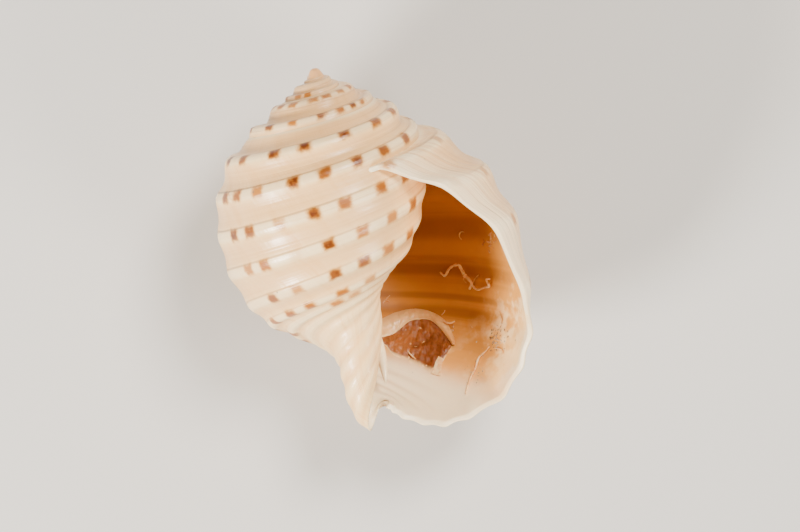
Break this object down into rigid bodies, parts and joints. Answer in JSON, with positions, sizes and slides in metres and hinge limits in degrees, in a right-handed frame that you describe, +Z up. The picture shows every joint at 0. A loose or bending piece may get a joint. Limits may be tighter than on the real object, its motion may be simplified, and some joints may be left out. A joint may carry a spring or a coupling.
{
  "type": "tun shell",
  "caption": "Large round sea-snail shell with a low pointed spire, raised spiral ribs and a wide open mouth, lying on its back with the mouth up",
  "frame": {"origin": "centre of the bounding box's bottom, on the plane that the shell lies on", "axes": "+Y runs toward the apex, +X toward the outer lip, +Z up, out of the aperture"},
  "size_m": [0.0874, 0.101, 0.071],
  "materials": {
    "shell": "smooth cream porcelain-like shell with orange-brown spots on its ribs and a brown interior"
  },
  "bodies": {
    "root": {"shell": "shell"}
  },
  "joints": []
}
